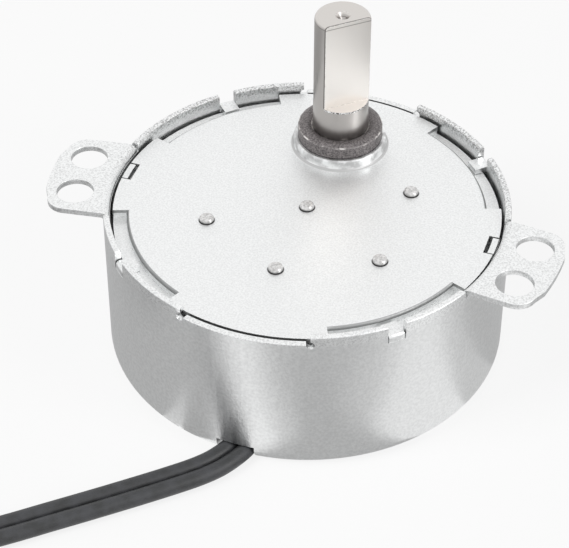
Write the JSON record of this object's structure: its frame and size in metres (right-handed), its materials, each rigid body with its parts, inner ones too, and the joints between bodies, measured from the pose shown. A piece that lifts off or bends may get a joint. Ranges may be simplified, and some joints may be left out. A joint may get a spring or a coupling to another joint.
{
  "type": "synchronous gear motor",
  "caption": "Synchronous gear motor in a round drawn steel can, with two mounting ears, an offset D-cut output shaft and a coiled twin lead.",
  "frame": {"origin": "centre of the can's base, on the surface that the motor stands on", "axes": "+Z along the output shaft towards its free end, +Y from the can's axis to the output shaft, +X through the two ears' side of the can"},
  "size_m": [0.1053, 0.0799, 0.0388],
  "materials": {
    "zinc_steel": "satin",
    "bright_steel": "polished",
    "gear_steel": "satin",
    "spring_steel": "satin",
    "sintered_iron": "matte",
    "sintered_bronze": "matte",
    "ferrite": "matte",
    "white_acetal": "satin",
    "bobbin_nylon": "matte",
    "black_nylon": "matte",
    "enamelled_copper": "satin",
    "polyester_tape": "gloss",
    "tinned_brass": "satin",
    "lead_pvc": "satin",
    "tie_nylon": "satin"
  },
  "bodies": {
    "housing": {"can": "zinc_steel", "cover_plate": "zinc_steel", "gear_frame": "zinc_steel", "pole_plate": "zinc_steel", "coil_bobbin": "bobbin_nylon", "coil_winding": "enamelled_copper", "coil_tape": "polyester_tape", "terminal_block": "black_nylon", "terminal_pins": "tinned_brass", "rotor_pin": "bright_steel", "rotor_washer": "white_acetal", "rotor_sleeve": "white_acetal", "first_gear_pin": "bright_steel", "second_gear_pin": "bright_steel", "third_gear_pin": "bright_steel", "fourth_gear_pin": "bright_steel", "output_bush": "sintered_iron", "lower_bush": "sintered_bronze", "lead": "lead_pvc", "lead_coil": "lead_pvc", "lead_ends": "tinned_brass", "lead_tie": "tie_nylon"},
    "output": {"output_shaft": "bright_steel", "output_gear": "gear_steel", "output_clip": "spring_steel", "output_washer": "white_acetal"},
    "fourth": {"fourth_wheel": "gear_steel", "fourth_pinion": "gear_steel"},
    "third": {"third_wheel": "gear_steel", "third_pinion": "gear_steel"},
    "second": {"second_wheel": "gear_steel", "second_pinion": "gear_steel"},
    "first": {"first_gear": "white_acetal"},
    "rotor": {"rotor_magnet": "ferrite", "rotor_hub": "white_acetal"}
  },
  "joints": [
    {"name": "output_spin", "type": "hinge", "parent": "housing", "child": "output", "pos_m": [0, 0.0139, 0.02], "axis": [0, 0, 1], "continuous": true},
    {"name": "fourth_spin", "type": "hinge", "parent": "housing", "child": "fourth", "pos_m": [0.01141, 0.00669, 0.0135], "axis": [0, 0, 1], "continuous": true},
    {"name": "third_spin", "type": "hinge", "parent": "housing", "child": "third", "pos_m": [0.01135, -0.00706, 0.0155], "axis": [0, 0, 1], "continuous": true},
    {"name": "second_spin", "type": "hinge", "parent": "housing", "child": "second", "pos_m": [0.00001, -0.01233, 0.0145], "axis": [0, 0, 1], "continuous": true},
    {"name": "first_spin", "type": "hinge", "parent": "housing", "child": "first", "pos_m": [-0.01087, -0.00617, 0.013], "axis": [0, 0, 1], "continuous": true},
    {"name": "rotor_spin", "type": "hinge", "parent": "housing", "child": "rotor", "pos_m": [0, 0, 0.006], "axis": [0, 0, 1], "continuous": true}
  ],
  "couplings": [
    {"joint": "fourth_spin", "follows": "output_spin", "ratio": -2.375},
    {"joint": "third_spin", "follows": "output_spin", "ratio": 4.5},
    {"joint": "second_spin", "follows": "output_spin", "ratio": -11.571},
    {"joint": "first_spin", "follows": "output_spin", "ratio": 32.934},
    {"joint": "rotor_spin", "follows": "output_spin", "ratio": -104.29}
  ]
}
